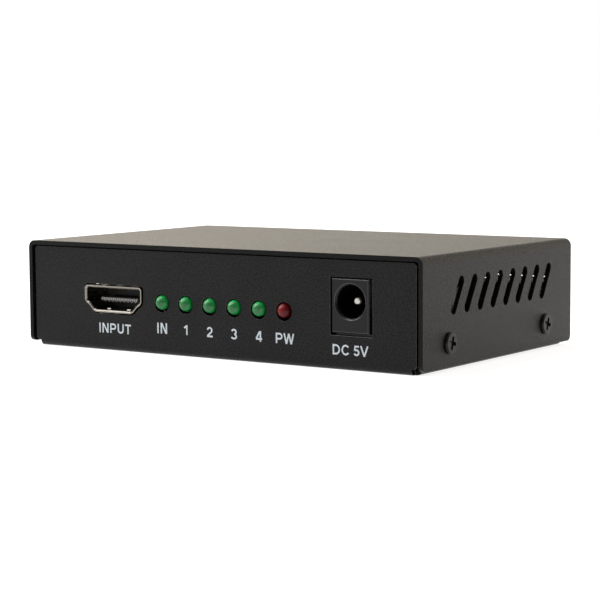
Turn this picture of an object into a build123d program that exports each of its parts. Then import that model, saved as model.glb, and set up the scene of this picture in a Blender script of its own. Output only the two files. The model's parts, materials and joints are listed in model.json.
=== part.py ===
from build123d import *
import os

os.makedirs("parts", exist_ok=True)

# An HDMI splitter with one input and four outputs, in a case of folded sheet steel.
# Millimetres. The origin is on the underside at the middle of the case, +Z is up and the front faces -Y.

# Case
case_width = 96.0
case_depth = 60.0
case_height = 22.0
sheet = 0.9
cover_bend_radius = 1.5
cover_lift = 0.8
cover_corner_radius = 1.2
lip_overhang = 0.3
cover_slip = 0.25
panel_side_gap = 0.6
tray_bend_radius = 1.2
flange_height = 9.0
relief_width = 1.2
relief_height = 1.2
relief_length = 1.6
panel_corner_cut = 0.5

# Side vents: a row of slots that lean to the rear
vent_count = 8
vent_pitch = 5.1
vent_width = 2.0
vent_length = 7.9
vent_lean = 30.0
vent_centre_y = 0.6
vent_centre_height = 14.1

# Screws, one kind in two lengths
screw_core_radius = 1.25
screw_head_radius = 2.1
screw_head_height = 0.6
screw_head_chamfer = 0.27
screw_recess_length = 2.5
screw_recess_width = 0.65
screw_recess_core = 1.1
screw_recess_depth = 0.5
cover_screw_length = 3.5
cover_screw_spacing = 38.7
cover_screw_centre_y = -0.75
cover_screw_height = 5.3
cover_screw_turns = (-14.0, -18.0)
cover_hole_play = 0.25
thread_play = 0.05
board_screw_length = 5.0

# Circuit board on four six-sided standoffs that are welded to the floor
board_thickness = 1.6
board_end_gap = 0.3
board_side_gap = 0.5
board_hole_play = 0.3
board_slot_play = 0.2
standoff_height = 4.5
standoff_flats = 5.0
standoff_side_distance = 3.5
standoff_front_distance = 7.8
standoff_rear_distance = 17.8

# HDMI sockets. Depths run back from the mouth, heights and widths from its middle.
mouth_width = 14.0
mouth_height = 4.55
mouth_side_drop = 0.45
mouth_step_width = 12.3
mouth_step_drop = 0.35
mouth_floor_width = 9.6
mouth_corner_cut = 0.3
shell_wall = 0.35
shell_lip_width = 0.45
shell_lip_length = 0.4
shell_lip_flare = 0.2
shell_depth = 10.4
shell_stand_out = 0.2
shell_axis_height = 3.55
shell_leg_width = 1.2
shell_leg_depths = (3.4, 8.4)
leg_below_board = 0.8
spring_spacing = 5.2
spring_width = 0.9
spring_slot = 0.3
spring_depth = 1.4
spring_length = 4.6
spring_bump_height = 0.25
spring_bump_length = 1.0
spring_crest_length = 0.4
tongue_width = 10.1
tongue_thickness = 0.6
tongue_drop = 0.25
tongue_recess = 2.1
tongue_corner_cut = 0.25
insulator_block_length = 3.8
insulator_play = 0.05
insulator_foot_length = 1.0
insulator_foot_width = 13.4
contact_pitch = 1.0
contact_row_counts = (10, 9)
contact_width = 0.3
contact_thickness = 0.15
contact_inset = 0.3
contact_play = 0.02
input_cutout_gap = 0.35
output_cutout_gap = 0.75
input_side_distance = 22.6
output_count = 4
output_side_distance = 12.0

# Power jack. Heights and widths run from the middle of its bore.
jack_side_distance = 15.95
jack_width = 8.4
jack_height = 10.45
jack_bore_height = 6.0
jack_bore_radius = 3.15
jack_bore_chamfer = 0.35
jack_bore_depth = 9.7
jack_front_length = 3.4
jack_length = 13.7
jack_barrel_wall = 0.75
jack_edge_chamfer = 0.25
jack_side_gap = 0.5
jack_cutout_shift = 0.25
jack_top_gap = 0.15
jack_bottom_gap = 0.45
jack_pin_radius = 1.0
jack_pin_recess = 2.35
jack_pin_chamfer = 0.4
jack_pin_neck_radius = 0.7
jack_metal = 0.3
jack_metal_play = 0.05
jack_tab_width = 2.4
jack_tab_below_board = 1.2
jack_spring_front = 4.2
jack_spring_crest_depth = 5.5
jack_spring_seat_depth = 7.2
jack_spring_rise = 0.75
jack_spring_bend = 0.4
jack_switch_depth = 7.0
jack_switch_reach = 0.7

# Lamps, 3 mm type, in a row in the front panel
lamp_names = ("input_lamp", "output_1_lamp", "output_2_lamp", "output_3_lamp", "output_4_lamp", "power_lamp")
lamp_socket_distance = 12.55
lamp_jack_distance = 15.1
lamp_height = 10.55
lamp_radius = 1.45
lamp_dome_recess = 0.4
lamp_length_behind = 3.55
lamp_hole_radius = 1.85
lamp_hole_drop = 0.15
lamp_lead = 0.5
lamp_lead_spacing = 2.54
lamp_lead_reach = 1.9
lamp_lead_below_board = 1.0

# Parts on the board
splitter_chip_size = 14.0
splitter_chip_height = 1.2
splitter_chip_place = (0.0, -2.0)
thermal_pad_thickness = 0.5
heat_sink_size = 22.0
heat_sink_base = 1.6
heat_sink_height = 8.0
heat_sink_fin = 0.9
heat_sink_fin_count = 7
controller_size = (10.0, 4.0, 1.5)
controller_offset = (1.5, 26.5)
controller_leg_count = 8
controller_leg_pitch = 1.2
controller_leg_width = 0.4
controller_leg_thickness = 0.2
controller_leg_reach = 1.0
controller_leg_seat = 0.4
crystal_length = 11.0
crystal_width = 4.7
crystal_height = 3.6
crystal_offset = (1.5, 35.5)
regulator_size = (6.5, 3.5, 1.6)
regulator_offsets = ((-8.75, 31.0), (1.25, 31.0))
regulator_tab_width = 3.0
regulator_lead_width = 0.7
regulator_lead_pitch = 2.3
regulator_lead_reach = 1.6
regulator_lead_thickness = 0.3
inductor_size = 6.4
inductor_height = 3.2
inductor_corner_cut = 1.2
inductor_offset = (-9.25, 22.0)
can_radius = 3.15
can_height = 6.6
can_base_size = 6.6
can_base_height = 1.0
can_base_cut = 1.4
can_offsets = ((-10.25, 13.0), (-0.25, 21.0), (7.75, 21.0))
surge_size = (2.6, 2.0, 0.9)
surge_spacing = 6.5
surge_gap = 1.8
chip_part_size = (1.0, 0.5, 0.45)
resistor_gap = 1.0
resistor_row_count = 4
resistor_pitch = 1.6
decoupling_gap = 1.5
decoupling_row_count = 6
decoupling_pitch = 2.6

# Places worked out from the sizes above
half_width = case_width / 2
half_depth = case_depth / 2
panel_face_y = half_depth - lip_overhang
panel_back_y = panel_face_y - sheet
panel_top = case_height - sheet - cover_slip
panel_width = case_width - 2 * (sheet + panel_side_gap)
strip_width = panel_width - 2 * relief_width
flange_face_x = half_width - sheet - cover_slip
flange_half_length = panel_face_y - relief_length
board_bottom = sheet + standoff_height
board_top = board_bottom + board_thickness
board_width = case_width - 2 * (cover_screw_length + board_side_gap)
board_depth = 2 * (panel_back_y - board_end_gap)
standoff_x = board_width / 2 - standoff_side_distance
standoff_ys = (standoff_front_distance - board_depth / 2, board_depth / 2 - standoff_rear_distance)
standoff_points = [(side * standoff_x, y) for side in (-1, 1) for y in standoff_ys]
cover_screw_ys = [cover_screw_centre_y + end * cover_screw_spacing / 2 for end in (-1, 1)]
cover_screw_points = [(y, cover_screw_height) for y in cover_screw_ys]
thread_radius = screw_core_radius + thread_play
socket_height = board_top + shell_axis_height
input_x = input_side_distance - half_width
output_end_x = half_width - output_side_distance
output_xs = [output_end_x * (2 * number / (output_count - 1) - 1) for number in range(output_count)]
jack_x = half_width - jack_side_distance
jack_z = board_top + jack_bore_height
lamp_first_x = input_x + lamp_socket_distance
lamp_pitch = (jack_x - lamp_jack_distance - lamp_first_x) / (len(lamp_names) - 1)
lamp_xs = [lamp_first_x + number * lamp_pitch for number in range(len(lamp_names))]


def wall_plane(face_y, x, z):
    """A plane that faces out of the front or the rear, with its y axis up."""
    side = 1 if face_y > 0 else -1
    return Plane(origin=(x, face_y, z), x_dir=(-side, 0, 0), z_dir=(0, side, 0))


mouth_y = panel_face_y + shell_stand_out
input_mouth = wall_plane(-mouth_y, input_x, socket_height)
output_mouths = [wall_plane(mouth_y, x, socket_height) for x in output_xs]
mouths = [input_mouth] + output_mouths
jack_mouth = wall_plane(-panel_face_y, jack_x, jack_z)


def behind_mouth(mouth, x, depth):
    """The place on the board that lies this far to the right of a mouth's middle and behind it."""
    point = mouth.from_local_coords((x, 0, -depth))
    return (point.X, point.Y)


def mouth_outline(growth):
    """A socket mouth's flat-topped D with stepped lower corners, each cut a little, grown all round."""
    right_side = [
        (mouth_width / 2, mouth_height / 2),
        (mouth_width / 2, -mouth_side_drop),
        (mouth_step_width / 2, -mouth_side_drop - mouth_step_drop),
        (mouth_floor_width / 2, -mouth_height / 2),
    ]
    left_side = [(-x, y) for x, y in reversed(right_side)]
    with BuildSketch() as outline:
        with BuildLine():
            Polyline(*right_side, *left_side, close=True)
        make_face()
        offset(amount=growth, kind=Kind.INTERSECTION)
        chamfer(outline.vertices(), mouth_corner_cut + max(growth, 0) / 3)
    return outline.sketch


# Cover: one sheet folded into an inverted U, with vents in both sides
with BuildPart() as top_cover:
    with BuildSketch(Plane.XZ) as cover_section:
        with Locations((0, case_height)):
            Rectangle(case_width, 2 * case_height, align=(Align.CENTER, Align.MAX))
        fillet(cover_section.vertices().group_by(Axis.Z)[-1], cover_bend_radius)
        offset(amount=-sheet, mode=Mode.SUBTRACT)
        with Locations((0, cover_lift)):
            Rectangle(2 * case_width, 2 * case_height, align=(Align.CENTER, Align.MAX), mode=Mode.SUBTRACT)
    extrude(amount=half_depth, both=True)
    fillet(top_cover.edges().filter_by(Axis.X).group_by(Axis.Z)[0], cover_corner_radius)
    with BuildSketch(Plane.YZ):
        with Locations((vent_centre_y, vent_centre_height)):
            with GridLocations(vent_pitch, 0, vent_count, 1):
                SlotOverall(vent_length, vent_width, rotation=90 - vent_lean)
        with Locations(*cover_screw_points):
            Circle(screw_core_radius + cover_hole_play)
    extrude(amount=case_width, both=True, mode=Mode.SUBTRACT)

top_cover.part.label = "top_cover"
export_step(top_cover.part, "parts/top_cover.step")


# Tray: the floor, with the front and rear panels and two low side flanges folded up from it
with BuildPart() as base_tray:
    with BuildSketch(Plane.YZ) as end_folds:
        Rectangle(2 * panel_face_y, 2 * panel_top, align=(Align.CENTER, Align.MIN))
        fillet(end_folds.vertices().group_by(Axis.Z)[0], tray_bend_radius)
        offset(amount=-sheet, mode=Mode.SUBTRACT)
        with Locations((0, panel_top)):
            Rectangle(2 * case_depth, 2 * panel_top, align=(Align.CENTER, Align.MIN), mode=Mode.SUBTRACT)
    extrude(amount=strip_width / 2, both=True)
    with BuildSketch(Plane.XZ) as side_folds:
        Rectangle(2 * flange_face_x, 2 * flange_height, align=(Align.CENTER, Align.MIN))
        fillet(side_folds.vertices().group_by(Axis.Z)[0], tray_bend_radius)
        offset(amount=-sheet, mode=Mode.SUBTRACT)
        with Locations((0, flange_height)):
            Rectangle(2 * case_width, 2 * flange_height, align=(Align.CENTER, Align.MIN), mode=Mode.SUBTRACT)
    extrude(amount=flange_half_length, both=True)
    for face_y in (-panel_face_y, panel_face_y):
        with BuildSketch(wall_plane(face_y, 0, relief_height)) as panel:
            Rectangle(panel_width, panel_top - relief_height, align=(Align.CENTER, Align.MIN))
            chamfer(panel.vertices().group_by(Axis.Z)[0], panel_corner_cut)
        extrude(amount=-sheet)

    # Cut-outs for the sockets, the lamps and the jack
    with BuildSketch(input_mouth.offset(-shell_stand_out)):
        add(mouth_outline(shell_lip_width + input_cutout_gap))
    extrude(amount=-sheet, mode=Mode.SUBTRACT)
    for mouth in output_mouths:
        with BuildSketch(mouth.offset(-shell_stand_out)):
            add(mouth_outline(shell_lip_width + output_cutout_gap))
        extrude(amount=-sheet, mode=Mode.SUBTRACT)
    with BuildSketch(wall_plane(-panel_face_y, 0, lamp_height - lamp_hole_drop)):
        with Locations(*[(x, 0) for x in lamp_xs]):
            Circle(lamp_hole_radius)
    extrude(amount=-sheet, mode=Mode.SUBTRACT)
    with BuildSketch(jack_mouth):
        with Locations((jack_cutout_shift, -jack_bore_height - jack_bottom_gap)):
            Rectangle(
                jack_width + 2 * jack_side_gap,
                jack_height + jack_bottom_gap + jack_top_gap,
                align=(Align.CENTER, Align.MIN),
            )
    extrude(amount=-sheet, mode=Mode.SUBTRACT)

    # Tapped holes for the cover screws
    with BuildSketch(Plane.YZ):
        with Locations(*cover_screw_points):
            Circle(thread_radius)
    extrude(amount=case_width, both=True, mode=Mode.SUBTRACT)

base_tray.part.label = "base_tray"
export_step(base_tray.part, "parts/base_tray.step")


# Standoffs: six-sided pillars, tapped for the board screws
with BuildPart() as board_standoffs:
    with BuildSketch(Plane.XY.offset(sheet)):
        with Locations(*standoff_points):
            RegularPolygon(standoff_flats / 2, 6, major_radius=False)
            Circle(thread_radius, mode=Mode.SUBTRACT)
    extrude(amount=standoff_height)

board_standoffs.part.label = "board_standoffs"
export_step(board_standoffs.part, "parts/board_standoffs.step")


def pan_screw(length):
    """A cross-recessed pan head screw that seats on the XY plane and points down."""
    with BuildPart() as screw:
        with BuildSketch():
            Circle(screw_head_radius)
        extrude(amount=screw_head_height)
        chamfer(screw.faces().sort_by(Axis.Z)[-1].edges(), screw_head_chamfer)
        with BuildSketch(Plane.XY.offset(screw_head_height)):
            Rectangle(screw_recess_length, screw_recess_width)
            Rectangle(screw_recess_width, screw_recess_length)
            Rectangle(screw_recess_core, screw_recess_core, rotation=45)
        extrude(amount=-screw_recess_depth, mode=Mode.SUBTRACT)
        with BuildSketch():
            Circle(screw_core_radius)
        extrude(amount=-length)
    return screw.part


# Cover screws, with their crosses left at the angles where they came tight
cover_screw = pan_screw(cover_screw_length)
cover_screw_seats = [
    Plane(origin=(side * half_width, y, cover_screw_height), x_dir=(0, side, 0), z_dir=(side, 0, 0)).location
    * Rotation(0, 0, turn)
    for side in (-1, 1)
    for y, turn in zip(cover_screw_ys, cover_screw_turns)
]
with BuildPart() as cover_screws:
    with Locations(*cover_screw_seats):
        add(cover_screw)

cover_screws.part.label = "cover_screws"
export_step(cover_screws.part, "parts/cover_screws.step")


# Board screws
board_screw = pan_screw(board_screw_length)
with BuildPart() as board_screws:
    with Locations(*[(x, y, board_top) for x, y in standoff_points]):
        add(board_screw)

board_screws.part.label = "board_screws"
export_step(board_screws.part, "parts/board_screws.step")


# Circuit board, with its mounting holes and the slots and holes that legs and tabs go through
leg_x = (mouth_width + shell_wall) / 2
shell_slots = [
    behind_mouth(mouth, side * leg_x, depth)
    for mouth in mouths
    for side in (-1, 1)
    for depth in shell_leg_depths
]
lamp_back_y = lamp_length_behind - panel_face_y
lamp_lead_y = lamp_back_y + lamp_lead_reach
lamp_lead_points = [(x + side * lamp_lead_spacing / 2, lamp_lead_y) for x in lamp_xs for side in (-1, 1)]
jack_barrel_radius = jack_bore_radius + jack_barrel_wall
jack_spring_tab_depth = jack_bore_depth + jack_metal / 2 + jack_metal_play
jack_switch_tab_x = jack_barrel_radius + jack_metal / 2
jack_cross_slots = [
    behind_mouth(jack_mouth, 0, depth) for depth in (jack_spring_tab_depth, jack_length + jack_metal / 2)
]
with BuildPart() as circuit_board:
    with BuildSketch(Plane.XY.offset(board_bottom)):
        Rectangle(board_width, board_depth)
        with Locations(*standoff_points):
            Circle(screw_core_radius + board_hole_play, mode=Mode.SUBTRACT)
        with Locations(*shell_slots):
            Rectangle(
                shell_wall + 2 * board_slot_play, shell_leg_width + 2 * board_slot_play, mode=Mode.SUBTRACT
            )
        with Locations(*lamp_lead_points):
            Rectangle(lamp_lead + board_slot_play, lamp_lead + board_slot_play, mode=Mode.SUBTRACT)
        with Locations(*jack_cross_slots):
            Rectangle(
                jack_tab_width + 2 * board_slot_play, jack_metal + 2 * board_slot_play, mode=Mode.SUBTRACT
            )
        with Locations(behind_mouth(jack_mouth, jack_switch_tab_x, jack_switch_depth)):
            Rectangle(
                jack_metal + 2 * board_slot_play, jack_tab_width + 2 * board_slot_play, mode=Mode.SUBTRACT
            )
    extrude(amount=board_thickness)

circuit_board.part.label = "circuit_board"
export_step(circuit_board.part, "parts/circuit_board.step")


# Socket shell: a drawn steel sleeve with a lip, four spring fingers and four legs.
# A socket is formed with its mouth on the XY plane, facing +Z, and its top towards +Y.
finger_tip_z = -spring_depth - spring_slot
crest_middle_z = finger_tip_z - spring_bump_length / 2
leg_height = shell_axis_height - mouth_side_drop + board_thickness + leg_below_board
with BuildPart() as shell_form:
    with BuildSketch():
        add(mouth_outline(shell_wall))
    extrude(amount=-shell_depth)
    with BuildSketch():
        add(mouth_outline(shell_lip_width))
    extrude(amount=-shell_lip_length)
    with BuildSketch():
        add(mouth_outline(0))
    extrude(amount=-shell_depth, mode=Mode.SUBTRACT)
    chamfer(shell_form.faces().sort_by(Axis.Z)[-1].inner_wires()[0].edges(), shell_lip_flare)
    for side in (-1, 1):
        for depth in shell_leg_depths:
            with BuildSketch(Plane.XY.offset(-depth)):
                with Locations((side * leg_x, -mouth_side_drop)):
                    Rectangle(shell_wall, leg_height, align=(Align.CENTER, Align.MAX))
            extrude(amount=shell_leg_width / 2, both=True)
    with BuildSketch(Plane.XZ):
        with Locations(*[(side * spring_spacing / 2, -spring_depth) for side in (-1, 1)]):
            Rectangle(
                spring_width + 2 * spring_slot, spring_length, align=(Align.CENTER, Align.MAX)
            )
            with Locations((0, -spring_slot)):
                Rectangle(
                    spring_width, spring_length, align=(Align.CENTER, Align.MAX), mode=Mode.SUBTRACT
                )
    extrude(amount=mouth_height, both=True, mode=Mode.SUBTRACT)
    for side in (-1, 1):
        for face in (-1, 1):
            wall_y = face * (mouth_height + shell_wall) / 2
            crest_y = face * (mouth_height / 2 - spring_bump_height)
            with BuildSketch(Plane.YZ.offset(side * spring_spacing / 2)):
                with BuildLine():
                    Polyline(
                        (wall_y, finger_tip_z),
                        (crest_y, crest_middle_z + spring_crest_length / 2),
                        (crest_y, crest_middle_z - spring_crest_length / 2),
                        (wall_y, finger_tip_z - spring_bump_length),
                        close=True,
                    )
                make_face()
            extrude(amount=spring_width / 2, both=True)


# Socket insulator: a tongue on a block that fills the back of the shell, and a foot on the board.
# The block has a window above and below the tongue for the two rows of contacts.
block_front_z = insulator_block_length - shell_depth
foot_back_z = -shell_depth - insulator_foot_length
row_faces = [
    (tongue_thickness / 2 - tongue_drop, 1, contact_row_counts[0]),
    (-tongue_thickness / 2 - tongue_drop, -1, contact_row_counts[1]),
]
with BuildPart() as insulator_form:
    with BuildSketch(Plane.XY.offset(-tongue_recess)):
        with Locations((0, -tongue_drop)):
            Rectangle(tongue_width, tongue_thickness)
    extrude(amount=block_front_z + tongue_recess)
    chamfer(insulator_form.faces().sort_by(Axis.Z)[-1].edges().filter_by(Axis.Y), tongue_corner_cut)
    with BuildSketch(Plane.XY.offset(block_front_z)):
        add(mouth_outline(-insulator_play))
    extrude(amount=-insulator_block_length)
    with BuildSketch(Plane.XY.offset(-shell_depth)):
        with Locations((0, -shell_axis_height)):
            Rectangle(
                insulator_foot_width,
                shell_axis_height + mouth_height / 2 - mouth_corner_cut,
                align=(Align.CENTER, Align.MIN),
            )
    extrude(amount=-insulator_foot_length)
    for face_y, outward, count in row_faces:
        with BuildSketch(Plane.XY.offset(block_front_z)):
            with Locations((0, face_y)):
                Rectangle(
                    (count - 1) * contact_pitch + contact_width + 2 * contact_play,
                    contact_thickness + contact_play,
                    align=(Align.CENTER, Align.MIN if outward > 0 else Align.MAX),
                )
        extrude(amount=foot_back_z - block_front_z, mode=Mode.SUBTRACT)


# Socket contacts: strips along both faces of the tongue that turn down behind it to the board
tail_front_z = foot_back_z - contact_play
tail_back_z = tail_front_z - contact_thickness
contact_front_z = -tongue_recess - contact_inset
with BuildPart() as contacts_form:
    for face_y, outward, count in row_faces:
        top_y, bottom_y = sorted((face_y, face_y + outward * contact_thickness), reverse=True)
        for number in range(count):
            with BuildSketch(Plane.YZ.offset((number - (count - 1) / 2) * contact_pitch)):
                with BuildLine():
                    Polyline(
                        (top_y, contact_front_z),
                        (top_y, tail_back_z),
                        (-shell_axis_height, tail_back_z),
                        (-shell_axis_height, tail_front_z),
                        (bottom_y, tail_front_z),
                        (bottom_y, contact_front_z),
                        close=True,
                    )
                make_face()
            extrude(amount=contact_width / 2, both=True)


# The five sockets, each of a shell, an insulator and its contacts
socket_forms = (("shell", shell_form), ("insulator", insulator_form), ("contacts", contacts_form))
socket_names = ["input"] + [f"output_{number}" for number in range(1, output_count + 1)]
for socket_name, mouth in zip(socket_names, mouths):
    for piece_name, form in socket_forms:
        with BuildPart() as socket_piece:
            with Locations(mouth):
                add(form.part)
        socket_piece.part.label = f"{socket_name}_{piece_name}"
        export_step(socket_piece.part, f"parts/{socket_name}_{piece_name}.step")


# Jack body: a square front in the panel and a barrel behind it, on the board
jack_spring_seat = jack_bore_radius + jack_metal
jack_spring_floor = jack_spring_seat + jack_metal / 2 + jack_metal_play
jack_switch_top = jack_spring_floor + jack_metal_play
with BuildPart() as jack_body:
    with BuildSketch(jack_mouth):
        with Locations((0, -jack_bore_height)):
            Rectangle(jack_width, jack_height, align=(Align.CENTER, Align.MIN))
    extrude(amount=-jack_front_length)
    with BuildSketch(jack_mouth.offset(-jack_front_length)):
        Circle(jack_barrel_radius)
        Rectangle(2 * jack_barrel_radius, jack_bore_height, align=(Align.CENTER, Align.MAX))
    extrude(amount=jack_front_length - jack_length)
    with BuildSketch(jack_mouth):
        Circle(jack_bore_radius)
    extrude(amount=-jack_bore_depth, mode=Mode.SUBTRACT)
    chamfer(jack_body.faces().sort_by(Axis.Y)[0].inner_wires()[0].edges(), jack_bore_chamfer)
    chamfer(jack_body.faces().sort_by(Axis.Y)[0].outer_wire().edges(), jack_edge_chamfer)
    with BuildSketch(jack_mouth):
        Circle(jack_pin_neck_radius + jack_metal_play)
    extrude(amount=-jack_length, mode=Mode.SUBTRACT)

    # Channel under the bore for the sleeve spring, and the slot where its tab goes down
    with BuildSketch(jack_mouth.offset(jack_metal_play - jack_spring_front)):
        with Locations((0, -jack_spring_floor)):
            Rectangle(
                jack_tab_width + 2 * jack_metal_play, jack_bore_radius, align=(Align.CENTER, Align.MIN)
            )
    extrude(
        amount=jack_spring_front - jack_spring_tab_depth - jack_metal / 2 - 2 * jack_metal_play,
        mode=Mode.SUBTRACT,
    )
    with BuildSketch(jack_mouth.offset(-jack_spring_tab_depth)):
        with Locations((0, -jack_spring_floor)):
            Rectangle(
                jack_tab_width + 2 * jack_metal_play, jack_bore_height, align=(Align.CENTER, Align.MAX)
            )
    extrude(amount=jack_metal / 2 + jack_metal_play, both=True, mode=Mode.SUBTRACT)

    # Slot in one side for the switch contact, which lies under the spring
    with BuildSketch(jack_mouth.offset(-jack_switch_depth)):
        with Locations((jack_switch_reach - jack_metal_play, -jack_spring_floor)):
            Rectangle(
                jack_barrel_radius, jack_metal + 2 * jack_metal_play, align=(Align.MIN, Align.MAX)
            )
    extrude(amount=jack_tab_width / 2 + jack_metal_play, both=True, mode=Mode.SUBTRACT)

jack_body.part.label = "jack_body"
export_step(jack_body.part, "parts/jack_body.step")


# Centre pin: it seats on the back of the bore, and its thin neck is riveted to the tab behind
jack_tab_height = jack_bore_height + board_thickness + jack_tab_below_board
with BuildPart() as jack_centre_pin:
    with BuildSketch(jack_mouth.offset(-jack_pin_recess)):
        Circle(jack_pin_radius)
    extrude(amount=jack_pin_recess - jack_bore_depth)
    chamfer(jack_centre_pin.faces().sort_by(Axis.Y)[0].edges(), jack_pin_chamfer)
    with BuildSketch(jack_mouth.offset(-jack_bore_depth)):
        Circle(jack_pin_neck_radius)
    extrude(amount=jack_bore_depth - jack_length)
    with BuildSketch(jack_mouth.offset(-jack_length)):
        Circle(jack_tab_width / 2)
        Rectangle(jack_tab_width, jack_tab_height, align=(Align.CENTER, Align.MAX))
    extrude(amount=-jack_metal)

jack_centre_pin.part.label = "jack_centre_pin"
export_step(jack_centre_pin.part, "parts/jack_centre_pin.step")


# Sleeve spring: a bowed strip under the bore, with its tab through the board
jack_side = Plane(origin=jack_mouth.origin, x_dir=(0, 1, 0), z_dir=(1, 0, 0))
with BuildPart() as jack_sleeve_spring:
    with BuildSketch(jack_side):
        with BuildLine():
            FilletPolyline(
                (jack_spring_front, -jack_spring_seat),
                (jack_spring_crest_depth, -jack_spring_seat + jack_spring_rise),
                (jack_spring_seat_depth, -jack_spring_seat),
                (jack_spring_tab_depth, -jack_spring_seat),
                (jack_spring_tab_depth, -jack_tab_height),
                radius=jack_spring_bend,
            )
        trace(line_width=jack_metal)
    extrude(amount=jack_tab_width / 2, both=True)

jack_sleeve_spring.part.label = "jack_sleeve_spring"
export_step(jack_sleeve_spring.part, "parts/jack_sleeve_spring.step")


# Switch contact: an angled strip that the sleeve spring rests on until a plug lifts it
with BuildPart() as jack_switch_contact:
    with BuildSketch(jack_mouth.offset(-jack_switch_depth)):
        with BuildLine():
            FilletPolyline(
                (jack_switch_reach, -jack_switch_top - jack_metal / 2),
                (jack_switch_tab_x, -jack_switch_top - jack_metal / 2),
                (jack_switch_tab_x, -jack_tab_height),
                radius=jack_metal / 2 + jack_metal_play,
            )
        trace(line_width=jack_metal)
    extrude(amount=jack_tab_width / 2, both=True)

jack_switch_contact.part.label = "jack_switch_contact"
export_step(jack_switch_contact.part, "parts/jack_switch_contact.step")


# Lamps: a domed lens, turned about its axis
dome_centre_y = lamp_dome_recess - panel_face_y
for lamp_name, x in zip(lamp_names, lamp_xs):
    with BuildPart() as lamp:
        with BuildSketch(Plane.YZ.offset(x)):
            with BuildLine():
                CenterArc((dome_centre_y, lamp_height), lamp_radius, 90, 90)
                Polyline(
                    (dome_centre_y - lamp_radius, lamp_height),
                    (lamp_back_y, lamp_height),
                    (lamp_back_y, lamp_height + lamp_radius),
                    (dome_centre_y, lamp_height + lamp_radius),
                )
            make_face()
        revolve(axis=Axis((x, 0, lamp_height), (0, 1, 0)))
    lamp.part.label = lamp_name
    export_step(lamp.part, f"parts/{lamp_name}.step")


# Lamp leads: square wires that run back from each lamp and turn down through the board
with BuildPart() as lamp_leads:
    for x, y in lamp_lead_points:
        with BuildSketch(Plane.YZ.offset(x)):
            with BuildLine():
                Polyline(
                    (lamp_back_y, lamp_height + lamp_lead / 2),
                    (y + lamp_lead / 2, lamp_height + lamp_lead / 2),
                    (y + lamp_lead / 2, board_bottom - lamp_lead_below_board),
                    (y - lamp_lead / 2, board_bottom - lamp_lead_below_board),
                    (y - lamp_lead / 2, lamp_height - lamp_lead / 2),
                    (lamp_back_y, lamp_height - lamp_lead / 2),
                    close=True,
                )
            make_face()
        extrude(amount=lamp_lead / 2, both=True)

lamp_leads.part.label = "lamp_leads"
export_step(lamp_leads.part, "parts/lamp_leads.step")


def on_board(place, height=0.0):
    """A level plane over a place on the board's top."""
    return Plane(origin=(*place, board_top + height))


# Splitter chip, its thermal pad and the finned heat sink on top
with BuildPart() as splitter_chip:
    with BuildSketch(on_board(splitter_chip_place)):
        Rectangle(splitter_chip_size, splitter_chip_size)
    extrude(amount=splitter_chip_height)

splitter_chip.part.label = "splitter_chip"
export_step(splitter_chip.part, "parts/splitter_chip.step")

with BuildPart() as thermal_pad:
    with BuildSketch(on_board(splitter_chip_place, splitter_chip_height)):
        Rectangle(splitter_chip_size, splitter_chip_size)
    extrude(amount=thermal_pad_thickness)

thermal_pad.part.label = "thermal_pad"
export_step(thermal_pad.part, "parts/thermal_pad.step")

heat_sink_seat = on_board(splitter_chip_place, splitter_chip_height + thermal_pad_thickness)
heat_sink_fin_pitch = (heat_sink_size - heat_sink_fin) / (heat_sink_fin_count - 1)
with BuildPart() as heat_sink:
    with BuildSketch(heat_sink_seat):
        Rectangle(heat_sink_size, heat_sink_size)
    extrude(amount=heat_sink_base)
    with BuildSketch(heat_sink_seat.offset(heat_sink_base)):
        with GridLocations(heat_sink_fin_pitch, 0, heat_sink_fin_count, 1):
            Rectangle(heat_sink_fin, heat_sink_size)
    extrude(amount=heat_sink_height - heat_sink_base)

heat_sink.part.label = "heat_sink"
export_step(heat_sink.part, "parts/heat_sink.step")


# Controller chip with a row of flat legs on each long side
controller_length, controller_width, controller_height = controller_size
controller_place = behind_mouth(input_mouth, *controller_offset)
with BuildPart() as controller_chip:
    with BuildSketch(on_board(controller_place, controller_leg_thickness)):
        Rectangle(controller_length, controller_width)
    extrude(amount=controller_height)
    with BuildSketch(on_board(controller_place)):
        with GridLocations(
            controller_leg_pitch,
            controller_width + controller_leg_reach - controller_leg_seat,
            controller_leg_count,
            2,
        ):
            Rectangle(controller_leg_width, controller_leg_reach + controller_leg_seat)
    extrude(amount=controller_leg_thickness)

controller_chip.part.label = "controller_chip"
export_step(controller_chip.part, "parts/controller_chip.step")


# Clock crystal: a long round-ended can
with BuildPart() as clock_crystal:
    with BuildSketch(on_board(behind_mouth(input_mouth, *crystal_offset))):
        SlotOverall(crystal_length, crystal_width)
    extrude(amount=crystal_height)

clock_crystal.part.label = "clock_crystal"
export_step(clock_crystal.part, "parts/clock_crystal.step")


# Voltage regulators with a wide tab behind and three leads in front
regulator_length, regulator_width, regulator_height = regulator_size
with BuildPart() as regulator_chips:
    for offset_from_jack in regulator_offsets:
        place = behind_mouth(jack_mouth, *offset_from_jack)
        with BuildSketch(on_board(place)):
            Rectangle(regulator_length, regulator_width)
        extrude(amount=regulator_height)
        with BuildSketch(on_board(place)):
            with Locations((0, regulator_width / 2)):
                Rectangle(regulator_tab_width, regulator_lead_reach, align=(Align.CENTER, Align.MIN))
            with Locations((0, -regulator_width / 2)):
                with GridLocations(regulator_lead_pitch, 0, 3, 1):
                    Rectangle(regulator_lead_width, regulator_lead_reach, align=(Align.CENTER, Align.MAX))
        extrude(amount=regulator_lead_thickness)

regulator_chips.part.label = "regulator_chips"
export_step(regulator_chips.part, "parts/regulator_chips.step")


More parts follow.
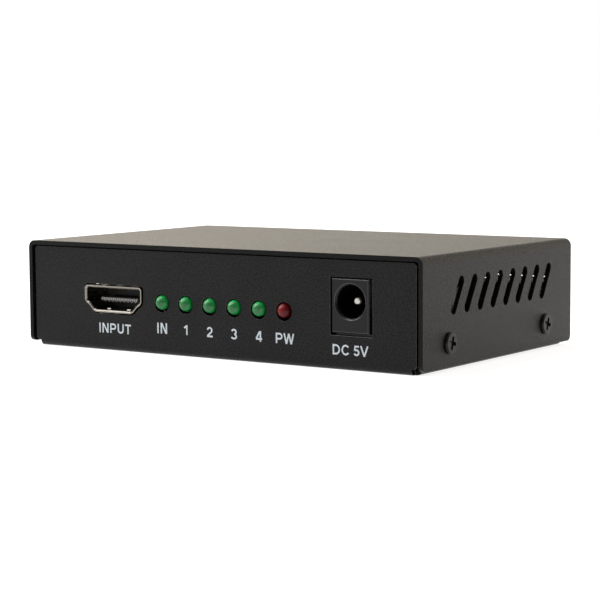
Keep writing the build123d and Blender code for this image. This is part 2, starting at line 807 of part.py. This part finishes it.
# Power inductor: a shielded block with cut corners
with BuildPart() as power_inductor:
    with BuildSketch(on_board(behind_mouth(jack_mouth, *inductor_offset))) as inductor_outline:
        Rectangle(inductor_size, inductor_size)
        chamfer(inductor_outline.vertices(), inductor_corner_cut)
    extrude(amount=inductor_height)

power_inductor.part.label = "power_inductor"
export_step(power_inductor.part, "parts/power_inductor.step")


# Filter capacitors: round cans, each on a square base with two corners cut
with BuildPart() as filter_capacitors:
    for offset_from_jack in can_offsets:
        place = behind_mouth(jack_mouth, *offset_from_jack)
        with BuildSketch(on_board(place)) as can_base:
            Rectangle(can_base_size, can_base_size)
            chamfer(can_base.vertices().group_by(Axis.X)[-1], can_base_cut)
        extrude(amount=can_base_height)
        with BuildSketch(on_board(place, can_base_height)):
            Circle(can_radius)
        extrude(amount=can_height)

filter_capacitors.part.label = "filter_capacitors"
export_step(filter_capacitors.part, "parts/filter_capacitors.step")


# Surge protection arrays, two behind each socket
surge_length, surge_width, surge_height = surge_size
surge_depth = surge_gap + surge_width / 2 - tail_back_z
surge_places = [
    behind_mouth(mouth, side * surge_spacing / 2, surge_depth) for mouth in mouths for side in (-1, 1)
]
with BuildPart() as surge_arrays:
    with BuildSketch(on_board((0, 0))):
        with Locations(*surge_places):
            Rectangle(surge_length, surge_width)
    extrude(amount=surge_height)

surge_arrays.part.label = "surge_arrays"
export_step(surge_arrays.part, "parts/surge_arrays.step")


# Chip resistors in a short row behind each socket's surge arrays
chip_length, chip_width, chip_height = chip_part_size
resistor_depth = surge_depth + surge_width / 2 + resistor_gap + chip_length / 2
resistor_places = [
    behind_mouth(mouth, (number - (resistor_row_count - 1) / 2) * resistor_pitch, resistor_depth)
    for mouth in mouths
    for number in range(resistor_row_count)
]
with BuildPart() as chip_resistors:
    with BuildSketch(on_board((0, 0))):
        with Locations(*resistor_places):
            Rectangle(chip_width, chip_length)
    extrude(amount=chip_height)

chip_resistors.part.label = "chip_resistors"
export_step(chip_resistors.part, "parts/chip_resistors.step")


# Chip capacitors in a row on each side of the heat sink
decoupling_spacing = heat_sink_size + 2 * decoupling_gap + chip_length
with BuildPart() as chip_capacitors:
    with BuildSketch(on_board(splitter_chip_place)):
        with GridLocations(decoupling_spacing, decoupling_pitch, 2, decoupling_row_count):
            Rectangle(chip_length, chip_width)
    extrude(amount=chip_height)

chip_capacitors.part.label = "chip_capacitors"
export_step(chip_capacitors.part, "parts/chip_capacitors.step")
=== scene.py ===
import json
import math

import bmesh
import bpy
from mathutils import Matrix, Vector


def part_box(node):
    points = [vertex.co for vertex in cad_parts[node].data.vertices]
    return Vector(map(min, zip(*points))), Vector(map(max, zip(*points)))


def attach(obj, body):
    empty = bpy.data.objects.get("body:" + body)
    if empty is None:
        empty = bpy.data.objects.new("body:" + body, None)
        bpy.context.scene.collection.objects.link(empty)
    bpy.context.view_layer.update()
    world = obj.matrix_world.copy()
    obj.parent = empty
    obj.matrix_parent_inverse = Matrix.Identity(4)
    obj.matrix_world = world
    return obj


# An HDMI splitter in a black powder-coated case, in a white studio.
# Metres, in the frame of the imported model: +Z is up and the front panel faces -Y.
# Lengths below that say millimetres are multiplied by mm where they are used.

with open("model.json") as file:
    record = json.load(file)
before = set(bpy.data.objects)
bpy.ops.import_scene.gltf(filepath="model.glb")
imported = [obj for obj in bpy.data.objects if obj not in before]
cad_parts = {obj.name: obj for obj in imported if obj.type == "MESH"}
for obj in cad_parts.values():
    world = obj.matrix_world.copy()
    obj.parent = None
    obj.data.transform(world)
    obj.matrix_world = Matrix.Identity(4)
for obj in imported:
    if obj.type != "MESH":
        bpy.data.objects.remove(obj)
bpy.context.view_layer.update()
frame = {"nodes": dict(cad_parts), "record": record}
nodes = frame["nodes"]
scene = bpy.context.scene
mm = 0.001

# Camera, solved from the photograph's edges and vanishing directions: metres and degrees
camera_place = (0.2243, -0.32638, 0.04829)
camera_yaw = 34.456
camera_pitch = -5.631
camera_roll = -0.325
camera_lens = 114.13
camera_sensor = 36.0
camera_near = 0.01
camera_far = 20.0

# Studio: how its light changes with the direction it comes from. Each fade has an axis of the unit direction,
# where on that axis the change starts and ends, and the levels before and after it.
front_fade = ("X", -0.1, 0.6, 0.68, 0.08)
back_fade = ("X", -0.75, -0.3, 1.69, 0.7098)
right_fade = ("X", -0.2, 0.4, 1.0, 2.7)
front_to_back_fade = ("Y", -0.1, 0.7, 0.0, 1.0)
overhead_fade = ("Z", 0.15, 0.8, 1.0, 0.5)
warm_height_fade = ("Z", 0.0, 0.07, 0.0, 1.0)
warm_depth_fade = ("Y", 0.0, 0.6, 0.0, 1.0)
warm_tint = (1.0, 0.9, 0.73)
backdrop_share = 0.2

# Floor and soft box
floor_size = 6.0
floor_cells = 4
floor_albedo = 0.5
floor_glow = 0.85
soft_box_place = (-0.6, -0.13, 0.66)
soft_box_target = (0, 0, 0.01)
soft_box_size = 0.95
soft_box_power = 12.6

# Grain that all finishes share
fine_detail = 3.0
fine_roughness = 0.6
cloud_detail = 2.0
cloud_scale = 30  # clouds are this many times larger than the grain
tint_reach = 0.2  # how far the noise strays from its middle before the tint reaches its limit
roughness_reach = 0.2
lens_depth = 0.6  # how deep light goes into a lamp's lens, in millimetres

# Softened edges of the CAD nodes: millimetres and degrees
weld_distance = 0.001
flat_angle = 0.5
sharp_angle = 28
edge_segments = 3

# Printed words on the front panel: bottom and top, then each letter's left and right, in millimetres
words = (
    (3.65, 5.65, (("I", -29.33, -28.77), ("N", -28.45, -26.76), ("P", -26.39, -24.72), ("U", -24.4, -22.74),
                  ("T", -22.43, -20.88))),
    (4.34, 6.5, (("I", -14.15, -13.56), ("N", -13.2, -11.52))),
    (4.43, 6.43, (("1", -7.25, -6.32),)),
    (4.34, 6.4, (("2", -1.61, -0.11),)),
    (4.28, 6.4, (("3", 4.31, 5.84),)),
    (4.23, 6.3, (("4", 10.3, 11.83),)),
    (4.2, 6.25, (("P", 15.0, 16.68), ("W", 16.8, 19.38))),
    (2.91, 4.9, (("D", 28.09, 29.83), ("C", 30.07, 31.91), ("5", 32.82, 34.17), ("V", 34.24, 36.14))),
)
stroke_half = 0.085
ink_thickness = 0.012
ink_layer_step = 0.0004  # each stroke lies this much higher than the one before, so none share a plane
ink_weld_distance = 0.0002
arc_step = 15  # degrees
mitre_limit = 0.25

# Grounding strips on the output sockets, in millimetres: the profile runs from the strip's rear end to the tip, by
# the distance behind the socket's mouth and the rise over its shell
spring_count = 6
spring_pitch = 2.6
spring_width = 2.4
spring_sheet = 0.1
spring_profile = ((2.2, 0.0), (1.3, 0.02), (1.0, 0.12), (0.75, 0.34), (0.5, 0.42), (0.3, 0.4), (0.15, 0.3))

# Foam strips under the cover, behind the panels' upper edges, in millimetres
sheet_thickness = 0.9
seal_play = 0.05
seal_width = 1.2
seal_thickness = 0.4
seal_end_gap = 3.0
seal_rounding = 0.1

# Contact ends on the sockets' tongues, in millimetres
end_count = 19
end_pitch = 0.5
end_width = 0.28
end_height = 0.5
end_drop = 0.33  # from the top of the contacts to the middle of the ends
end_thickness = 0.05
end_rounding = 0.04


def make_camera():
    """The photograph's camera."""
    data = bpy.data.cameras.new("camera")
    data.sensor_width = camera_sensor
    data.lens = camera_lens
    data.clip_start = camera_near
    data.clip_end = camera_far
    camera = bpy.data.objects.new("camera", data)
    scene.collection.objects.link(camera)
    camera.matrix_world = (
        Matrix.Translation(camera_place)
        @ Matrix.Rotation(math.radians(camera_yaw), 4, "Z")
        @ Matrix.Rotation(math.radians(90 + camera_pitch), 4, "X")
        @ Matrix.Rotation(math.radians(camera_roll), 4, "Z")
    )
    scene.camera = camera


def feed(tree, socket, value):
    """Links a socket to another node's output, or sets its number or colour."""
    if isinstance(value, bpy.types.NodeSocket):
        tree.links.new(value, socket)
    else:
        socket.default_value = value


def combine(tree, operation, *values):
    """The output of a Math node, for sockets or numbers."""
    node = tree.nodes.new("ShaderNodeMath")
    node.operation = operation
    for socket, value in zip(node.inputs, values):
        feed(tree, socket, value)
    return node.outputs[0]


def map_range(tree, value, start, end, low, high, interpolation="LINEAR"):
    """The output of a Map Range node, which goes from low to high as the value goes from start to end."""
    node = tree.nodes.new("ShaderNodeMapRange")
    node.interpolation_type = interpolation
    for name, number in (("From Min", start), ("From Max", end), ("To Min", low), ("To Max", high)):
        node.inputs[name].default_value = number
    feed(tree, node.inputs["Value"], value)
    return node.outputs[0]


def mix_values(tree, factor, first, second):
    """The output of a Mix node for numbers."""
    node = tree.nodes.new("ShaderNodeMix")
    node.data_type = "FLOAT"
    for index, value in ((0, factor), (2, first), (3, second)):
        feed(tree, node.inputs[index], value)
    return node.outputs[0]


def mix_colors(tree, factor, first, second):
    """The output of a Mix node for colours."""
    node = tree.nodes.new("ShaderNodeMix")
    node.data_type = "RGBA"
    for index, value in ((0, factor), (6, first), (7, second)):
        feed(tree, node.inputs[index], value)
    return node.outputs[2]


def scale_color(tree, color, share):
    """A colour multiplied by a number."""
    node = tree.nodes.new("ShaderNodeVectorMath")
    node.operation = "SCALE"
    feed(tree, node.inputs[0], color)
    feed(tree, node.inputs["Scale"], share)
    return node.outputs[0]


def seen_by(tree, share):
    """1 for what the camera sees, and a share of it for reflections and what is seen through clear pieces."""
    rays = tree.nodes.new("ShaderNodeLightPath")
    seen = rays.outputs["Is Camera Ray"]
    for kind in ("Is Glossy Ray", "Is Transmission Ray"):
        seen = combine(tree, "MAXIMUM", seen, combine(tree, "MULTIPLY", rays.outputs[kind], share))
    return seen


def make_world():
    """A white backdrop for the camera. The object is lit by a studio that is brightest behind it, most of all at the
    right, warm above the backdrop and dimmer in front and overhead, and reflects a little of the backdrop too."""
    world = bpy.data.worlds.new("studio")
    scene.world = world
    world.use_nodes = True
    tree = world.node_tree
    tree.nodes.clear()
    add, link = tree.nodes.new, tree.links.new
    direction = add("ShaderNodeTexCoord")
    axes = add("ShaderNodeSeparateXYZ")
    link(direction.outputs["Generated"], axes.inputs[0])

    def fade(axis, start, end, low, high):
        return map_range(tree, axes.outputs[axis], start, end, low, high, "SMOOTHSTEP")

    back_level = combine(tree, "MULTIPLY", fade(*back_fade), fade(*right_fade))
    level = mix_values(tree, fade(*front_to_back_fade), fade(*front_fade), back_level)
    warmth = combine(tree, "MULTIPLY", fade(*warm_height_fade), fade(*warm_depth_fade))
    studio = add("ShaderNodeBackground")
    link(mix_colors(tree, warmth, (1, 1, 1, 1), (*warm_tint, 1)), studio.inputs["Color"])
    link(combine(tree, "MULTIPLY", level, fade(*overhead_fade)), studio.inputs["Strength"])
    backdrop = add("ShaderNodeBackground")
    backdrop.inputs["Color"].default_value = (1, 1, 1, 1)
    mix = add("ShaderNodeMixShader")
    link(seen_by(tree, backdrop_share), mix.inputs["Fac"])
    link(studio.outputs[0], mix.inputs[1])
    link(backdrop.outputs[0], mix.inputs[2])
    link(mix.outputs[0], add("ShaderNodeOutputWorld").inputs["Surface"])


def make_soft_box():
    """A square soft box above the front left, which points at the case."""
    data = bpy.data.lights.new("soft_box", "AREA")
    data.size = soft_box_size
    data.energy = soft_box_power
    lamp = bpy.data.objects.new("soft_box", data)
    scene.collection.objects.link(lamp)
    lamp.location = soft_box_place
    aim = Vector(soft_box_target) - Vector(soft_box_place)
    lamp.rotation_euler = aim.to_track_quat("-Z", "Y").to_euler()


def add_object(name, shape, material):
    """Makes a scene object with one material out of a bmesh."""
    mesh = bpy.data.meshes.new(name)
    shape.to_mesh(mesh)
    shape.free()
    mesh.materials.append(material)
    piece = bpy.data.objects.new(name, mesh)
    scene.collection.objects.link(piece)
    return piece


def make_floor():
    """A large pale floor that shows white where nothing shades it."""
    material = bpy.data.materials.new("floor_paper")
    material.use_nodes = True
    tree = material.node_tree
    tree.nodes.clear()
    add, link = tree.nodes.new, tree.links.new
    paper = add("ShaderNodeBsdfDiffuse")
    paper.inputs["Color"].default_value = (floor_albedo, floor_albedo, floor_albedo, 1)
    glow = add("ShaderNodeEmission")
    link(combine(tree, "MULTIPLY", seen_by(tree, 1.0), floor_glow), glow.inputs["Strength"])
    both = add("ShaderNodeAddShader")
    link(paper.outputs[0], both.inputs[0])
    link(glow.outputs[0], both.inputs[1])
    link(both.outputs[0], add("ShaderNodeOutputMaterial").inputs["Surface"])
    grid = bmesh.new()
    bmesh.ops.create_grid(grid, x_segments=floor_cells, y_segments=floor_cells, size=floor_size / 2)
    floor = add_object("floor", grid, material)


def paint_end_shading(tree, place, tint, distance, level, blend):
    """Paints shade into a colour with a level below 1, and light with a level above 1: scales it to that level where
    the surface lies further than a distance in front of or behind the middle. The distance, and the blend before it,
    are in millimetres."""
    axes = tree.nodes.new("ShaderNodeSeparateXYZ")
    tree.links.new(place, axes.inputs[0])
    reach = combine(tree, "ABSOLUTE", axes.outputs["Y"])
    return scale_color(tree, tint, map_range(tree, reach, (distance - blend) * mm, distance * mm, 1.0, level))


def add_noise(tree, place, size, detail, roughness=None):
    """The output of a Noise Texture node whose grains have a size in millimetres."""
    noise = tree.nodes.new("ShaderNodeTexNoise")
    noise.inputs["Scale"].default_value = 1 / (size * mm)
    noise.inputs["Detail"].default_value = detail
    if roughness:
        noise.inputs["Roughness"].default_value = roughness
    tree.links.new(place, noise.inputs["Vector"])
    return noise.outputs["Fac"]


def finish_material(
    name,
    color,
    roughness,
    metallic=0.0,
    specular=0.5,
    grain=0.3,
    spread=0.15,
    roughness_spread=0.08,
    bump=0.02,
    stretch=(1, 1, 1),
    subsurface=0.0,
    painted_end_shading=None,
    contrast=1.0,
    clouds=0.35,
):
    """A surface with a grain in its colour, roughness and bump. Grain and bump are in millimetres, spread and
    roughness_spread say how far colour and roughness vary, and clouds is the share of the broad variation."""
    material = bpy.data.materials.new(name)
    material.use_nodes = True
    tree = material.node_tree
    add, link = tree.nodes.new, tree.links.new
    shader = tree.nodes["Principled BSDF"]
    shader.inputs["Metallic"].default_value = metallic
    shader.inputs["Specular IOR Level"].default_value = specular
    if subsurface:
        shader.inputs["Subsurface Weight"].default_value = subsurface
        shader.inputs["Subsurface Radius"].default_value = (1, 1, 1)
        shader.inputs["Subsurface Scale"].default_value = lens_depth * mm
    place = add("ShaderNodeTexCoord").outputs["Object"]
    mapping = add("ShaderNodeMapping")
    mapping.inputs["Scale"].default_value = stretch
    link(place, mapping.inputs["Vector"])
    fine = add_noise(tree, mapping.outputs[0], grain, fine_detail, fine_roughness)
    broad = add_noise(tree, mapping.outputs[0], cloud_scale * grain, cloud_detail)
    blend = mix_values(tree, clouds, fine, broad)
    reach = tint_reach / contrast
    share = map_range(tree, blend, 0.5 - reach, 0.5 + reach, 1 - spread, 1 + spread)
    tint = scale_color(tree, color, share)
    # Painted shade and light: past a distance in Y the colour is scaled darker or lighter
    if painted_end_shading:
        tint = paint_end_shading(tree, place, tint, *painted_end_shading)
    link(tint, shader.inputs["Base Color"])
    low, high = roughness - roughness_spread, roughness + roughness_spread
    rough = map_range(tree, blend, 0.5 - roughness_reach, 0.5 + roughness_reach, low, high)
    link(rough, shader.inputs["Roughness"])
    relief = add("ShaderNodeBump")
    relief.inputs["Strength"].default_value = 1.0
    relief.inputs["Distance"].default_value = bump * mm
    link(fine, relief.inputs["Height"])
    link(relief.outputs[0], shader.inputs["Normal"])
    return material


# Finishes that several materials share
metal = {"metallic": 1.0}
lens = {"grain": 0.6, "spread": 0.1, "roughness_spread": 0.03, "bump": 0.003, "subsurface": 0.6}

# Colour, roughness and grain of each material slot, and of the ink, the foam and the two edge highlight finishes
finishes = {
    # The case paint turns black on the case's cut end faces, past 29.95 mm from the middle in Y: a painted shade
    "case_paint": dict(
        color=(0.0118, 0.0112, 0.0115), roughness=0.3, specular=0.14, grain=0.3, spread=1.0, bump=0.1,
        painted_end_shading=(29.95, 0.0, 0.04), contrast=1.5, clouds=0.08,
    ),
    "screw_metal": dict(color=(0.008, 0.0076, 0.0072), roughness=0.26, specular=0.22, grain=0.15, bump=0.01),
    "standoff_metal": dict(
        color=(0.62, 0.61, 0.58), roughness=0.32, grain=0.2, stretch=(1, 1, 6), bump=0.004, **metal
    ),
    "shell_metal": dict(
        color=(0.24, 0.222, 0.19), roughness=0.3, grain=0.25, spread=0.06, stretch=(1, 0.2, 1), bump=0.004, **metal
    ),
    "socket_plastic": dict(color=(0.012, 0.012, 0.013), roughness=0.5, grain=0.2, bump=0.008),
    "contact_metal": dict(color=(0.29, 0.28, 0.26), roughness=0.35, grain=0.1, spread=0.08, bump=0.002, **metal),
    "jack_plastic": dict(color=(0.005, 0.0047, 0.0052), roughness=0.3, specular=0.23, grain=0.18, bump=0.012),
    "pin_metal": dict(color=(0.42, 0.405, 0.38), roughness=0.16, grain=0.2, spread=0.05, bump=0.002, **metal),
    "spring_metal": dict(color=(0.4, 0.385, 0.35), roughness=0.34, grain=0.2, spread=0.08, bump=0.003, **metal),
    # The green lenses are painted darker towards their tips, which leaves the rims lighter: painted shade and light
    "green_lens": dict(color=(0.014, 0.5, 0.1), roughness=0.28, specular=0.55, painted_end_shading=(30.65, 0.42, 0.75), **lens),
    # The red lenses are painted lighter towards their tips: painted light
    "red_lens": dict(color=(0.12, 0.001, 0.002), roughness=0.27, specular=0.26, painted_end_shading=(30.65, 1.9, 0.75), **lens),
    "lead_metal": dict(color=(0.4, 0.39, 0.37), roughness=0.28, grain=0.2, bump=0.003, **metal),
    # The board is painted almost black at its front and rear edges, past 28.3 mm in Y: a painted shade
    "board_laminate": dict(
        color=(0.012, 0.1, 0.04), roughness=0.35, grain=0.5, bump=0.01, painted_end_shading=(28.3, 0.05, 0.04)
    ),
    "chip_plastic": dict(color=(0.02, 0.02, 0.02), roughness=0.6, grain=0.12, bump=0.01),
    "pad_rubber": dict(color=(0.3, 0.36, 0.45), roughness=0.8, grain=0.3, bump=0.02),
    "heat_sink_metal": dict(color=(0.03, 0.03, 0.033), roughness=0.45, metallic=0.6, grain=0.2, bump=0.01),
    "crystal_can": dict(color=(0.65, 0.64, 0.62), roughness=0.3, grain=0.3, bump=0.004, **metal),
    "ferrite": dict(color=(0.07, 0.07, 0.07), roughness=0.7, grain=0.2, bump=0.02),
    "capacitor_can": dict(color=(0.2, 0.2, 0.21), roughness=0.45, grain=0.3, bump=0.004, **metal),
    "capacitor_ceramic": dict(color=(0.42, 0.3, 0.19), roughness=0.5, grain=0.15, bump=0.006),
    "resistor_ceramic": dict(color=(0.04, 0.04, 0.045), roughness=0.5, grain=0.15, bump=0.006),
    "white_ink": dict(color=(0.8, 0.87, 0.92), roughness=0.45, specular=0.3, grain=0.2, spread=0.04, bump=0.004),
    "black_foam": dict(color=(0.01, 0.01, 0.01), roughness=0.85, specular=0.2, grain=0.25, spread=0.3, bump=0.05),
    # Glossier, slightly lighter copies of case_paint and jack_plastic for the rounded edges: painted highlights
    "paint_edge_highlight": dict(color=(0.014, 0.0136, 0.014), roughness=0.26, specular=1.0, grain=0.3, bump=0.01),
    "jack_edge_highlight": dict(color=(0.006, 0.0058, 0.0062), roughness=0.28, specular=0.9, grain=0.18, bump=0.005),
}
materials = {name: finish_material(name, **finish) for name, finish in finishes.items()}

# Nodes whose softened edges get a glossier, slightly lighter copy of their finish: a painted highlight along the
# edges that catch the light
highlight_edge_finishes = {"base_tray": "paint_edge_highlight", "jack_body": "jack_edge_highlight"}

# Width in millimetres of the softened edges of each kind of piece
edge_widths = {
    "case_paint": 0.2,
    "screw_metal": 0.08,
    "shell_metal": 0.05,
    "socket_plastic": 0.05,
    "jack_plastic": 0.12,
    "contact_metal": 0.02,
    "pin_metal": 0.3,
    "heat_sink_metal": 0.1,
    "chip_plastic": 0.1,
    "board_laminate": 0.05,
}


def soften_edges(piece, width):
    """Rounds a CAD node's sharp edges a little, as paint, pressing or moulding leaves them."""
    weld = piece.modifiers.new("weld", "WELD")
    weld.merge_threshold = weld_distance * mm
    flat = piece.modifiers.new("flat_faces", "DECIMATE")
    flat.decimate_type = "DISSOLVE"
    flat.angle_limit = math.radians(flat_angle)
    bevel = piece.modifiers.new("soft_edges", "BEVEL")
    bevel.width = width * mm
    bevel.segments = edge_segments
    bevel.limit_method = "ANGLE"
    bevel.angle_limit = math.radians(sharp_angle)
    # The rounded edges take the node's last material; where that is an edge highlight finish, it paints a highlight
    # on them
    bevel.material = len(piece.data.materials) - 1
    normals = piece.modifiers.new("normals", "WEIGHTED_NORMAL")
    normals.keep_sharp = True


def dress_nodes():
    """Gives each CAD node the material of its slot in the record, and softens its edges."""
    for part in frame["record"]["subparts"]:
        piece = nodes[part["node"]]
        slot = part["material_slot"]
        piece.data.materials.clear()
        piece.data.materials.append(materials[slot])
        if part["node"] in highlight_edge_finishes:
            piece.data.materials.append(materials[highlight_edge_finishes[part["node"]]])
        if slot in edge_widths:
            soften_edges(piece, edge_widths[slot])


def arc(x, z, radius_x, radius_z, start, end):
    """Points on an elliptical arc, by its angles in degrees."""
    steps = max(2, round(abs(end - start) / arc_step))
    angles = [math.radians(start + (end - start) * step / steps) for step in range(steps + 1)]
    return [(x + radius_x * math.cos(angle), z + radius_z * math.sin(angle)) for angle in angles]


# Stroke letters: the width and the middle lines of the strokes, for a cap height of 1
glyphs = {
    "I": (0.2, [[(0.1, 0), (0.1, 1)]]),
    "N": (0.84, [[(0.1, 0), (0.1, 1)], [(0.13, 0.97), (0.71, 0.03)], [(0.74, 0), (0.74, 1)]]),
    "P": (0.78, [[(0.1, 0), (0.1, 1)], [(0.1, 0.91)] + arc(0.42, 0.67, 0.26, 0.24, 90, -90) + [(0.1, 0.43)]]),
    "U": (0.82, [[(0.1, 1)] + arc(0.41, 0.38, 0.31, 0.29, 180, 360) + [(0.72, 1)]]),
    "T": (0.8, [[(0, 0.91), (0.8, 0.91)], [(0.4, 0), (0.4, 0.9)]]),
    "W": (1.16, [[(0.09, 1), (0.33, 0)], [(0.33, 0), (0.58, 0.98)], [(0.58, 0.98), (0.83, 0)],
                 [(0.83, 0), (1.07, 1)]]),
    "D": (0.84, [[(0.1, 0), (0.1, 1)], [(0.1, 0.91)] + arc(0.36, 0.5, 0.38, 0.41, 90, -90) + [(0.1, 0.09)]]),
    "C": (0.86, [arc(0.46, 0.5, 0.36, 0.42, 38, 322)]),
    "V": (0.88, [[(0.09, 1), (0.44, 0)], [(0.44, 0), (0.79, 1)]]),
    "1": (0.45, [[(0.34, 0), (0.34, 0.98)], [(0.02, 0.7), (0.3, 0.9)]]),
    "2": (0.68, [arc(0.33, 0.66, 0.24, 0.25, 170, -38) + [(0.1, 0.13)], [(0.04, 0.09), (0.67, 0.09)]]),
    "3": (0.66, [arc(0.32, 0.7, 0.22, 0.21, 165, -80), arc(0.32, 0.28, 0.25, 0.2, 80, -165)]),
    "4": (0.72, [[(0.06, 0.3), (0.46, 0.96)], [(0.03, 0.26), (0.71, 0.26)], [(0.52, 0), (0.52, 1)]]),
    "5": (0.7, [[(0.62, 0.91), (0.18, 0.91), (0.13, 0.5)], arc(0.33, 0.33, 0.26, 0.24, 130, -160)]),
}


def stroke_quads(line, half):
    """The outline quads of a flat stroke along a line of points, with mitred corners."""
    sides = []
    for number, (x, z) in enumerate(line):
        before, after = line[max(number - 1, 0)], line[min(number + 1, len(line) - 1)]
        ways = []
        for (x0, z0), (x1, z1) in ((before, (x, z)), ((x, z), after)):
            run = math.hypot(x1 - x0, z1 - z0)
            if run:
                ways.append(((x1 - x0) / run, (z1 - z0) / run))
        across_x = -sum(way[1] for way in ways) / len(ways)
        across_z = sum(way[0] for way in ways) / len(ways)
        mitre = half / max(across_x**2 + across_z**2, mitre_limit)
        sides.append(((x + across_x * mitre, z + across_z * mitre), (x - across_x * mitre, z - across_z * mitre)))
    return [(first[0], first[1], second[1], second[0]) for first, second in zip(sides, sides[1:])]


def make_labels(front_y):
    """The printed words: flat strokes of ink on the front panel."""
    for number, (bottom, top, letters) in enumerate(words):
        ink = bmesh.new()
        height = top - bottom
        layer = 0
        for letter, left, right in letters:
            width, lines = glyphs[letter]
            stretch = (right - left) / (width * height)
            for line in lines:
                layer += 1
                y = front_y - (ink_thickness + ink_layer_step * layer) * mm
                for quad in stroke_quads([(x * stretch, z) for x, z in line], stroke_half):
                    ink.faces.new(
                        [ink.verts.new(((left + x * height) * mm, y, (bottom + z * height) * mm)) for x, z in quad]
                    )
        bmesh.ops.remove_doubles(ink, verts=ink.verts, dist=ink_weld_distance * mm)
        bmesh.ops.recalc_face_normals(ink, faces=ink.faces)
        label = add_object(f"label_{number + 1}", ink, materials["white_ink"])
        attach(label, "root")


def row_places(node, count, pitch):
    """Where the members of a row stand in X, centred on a node, by their pitch in millimetres."""
    low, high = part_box(node)
    return [(low[0] + high[0]) / 2 + (number - (count - 1) / 2) * pitch * mm for number in range(count)]


def add_block(shape, size, middle):
    """Adds a box to a bmesh, by its size and middle in metres."""
    block = bmesh.ops.create_cube(shape, size=1.0)["verts"]
    bmesh.ops.scale(shape, vec=size, verts=block)
    bmesh.ops.translate(shape, vec=middle, verts=block)


def make_contact_ends(socket, side):
    """The ends of both rows of contacts, which show as a fine comb on the front of a socket's tongue."""
    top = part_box(f"{socket}_contacts")[1][2]
    tongue_low, tongue_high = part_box(f"{socket}_insulator")
    face_y = tongue_low[1] if side < 0 else tongue_high[1]
    comb = bmesh.new()
    for x in row_places(f"{socket}_contacts", end_count, end_pitch):
        size = (end_width * mm, end_thickness * mm, end_height * mm)
        add_block(comb, size, (x, face_y + side * end_thickness / 2 * mm, top - end_drop * mm))
    bmesh.ops.bevel(comb, geom=comb.edges[:], offset=end_rounding * mm, segments=2, affect="EDGES")
    ends = add_object(f"{socket}_contact_ends", comb, materials["contact_metal"])
    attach(ends, "root")


def make_ground_springs(socket):
    """The grounding strip on an output socket's shell: bent fingers that reach up into the panel's cut-out."""
    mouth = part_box(f"{socket}_shell")[1]
    strip = bmesh.new()
    for x in row_places(f"{socket}_shell", spring_count, spring_pitch):
        sections = []
        for back, rise in spring_profile:
            y, z = mouth[1] - back * mm, mouth[2] + rise * mm
            sections.append([
                strip.verts.new((x + side * spring_width / 2 * mm, y, z + lift * spring_sheet * mm))
                for side, lift in ((-1, 0), (1, 0), (1, 1), (-1, 1))
            ])
        for first, second in zip(sections, sections[1:]):
            for corner in range(4):
                following = (corner + 1) % 4
                strip.faces.new((first[corner], first[following], second[following], second[corner]))
        strip.faces.new(sections[0][::-1])
        strip.faces.new(sections[-1])
    bmesh.ops.recalc_face_normals(strip, faces=strip.faces)
    springs = add_object(f"{socket}_ground_springs", strip, materials["spring_metal"])
    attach(springs, "root")


def make_gap_seal(name, side):
    """A foam strip on the underside of the cover, which closes the gap over the front or rear panel from behind."""
    panel_low, panel_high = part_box("base_tray")
    cover_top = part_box("top_cover")[1][2]
    panel_y = panel_high[1] if side > 0 else panel_low[1]
    size = (panel_high[0] - panel_low[0] - 2 * seal_end_gap * mm, seal_width * mm, seal_thickness * mm)
    y = panel_y - side * (sheet_thickness + seal_play + seal_width / 2) * mm
    seal = bmesh.new()
    add_block(seal, size, (0, y, cover_top - (sheet_thickness + seal_thickness / 2) * mm))
    bmesh.ops.bevel(seal, geom=seal.edges[:], offset=seal_rounding * mm, segments=3, affect="EDGES")
    strip = add_object(name, seal, materials["black_foam"])
    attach(strip, "root")


make_camera()
make_world()
make_floor()
make_soft_box()
dress_nodes()
make_labels(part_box("base_tray")[0][1])
make_contact_ends("input", -1)
for number in range(1, 5):
    make_contact_ends(f"output_{number}", 1)
    make_ground_springs(f"output_{number}")
make_gap_seal("front_gap_seal", -1)
make_gap_seal("rear_gap_seal", 1)

scene.view_settings.view_transform = "Standard"
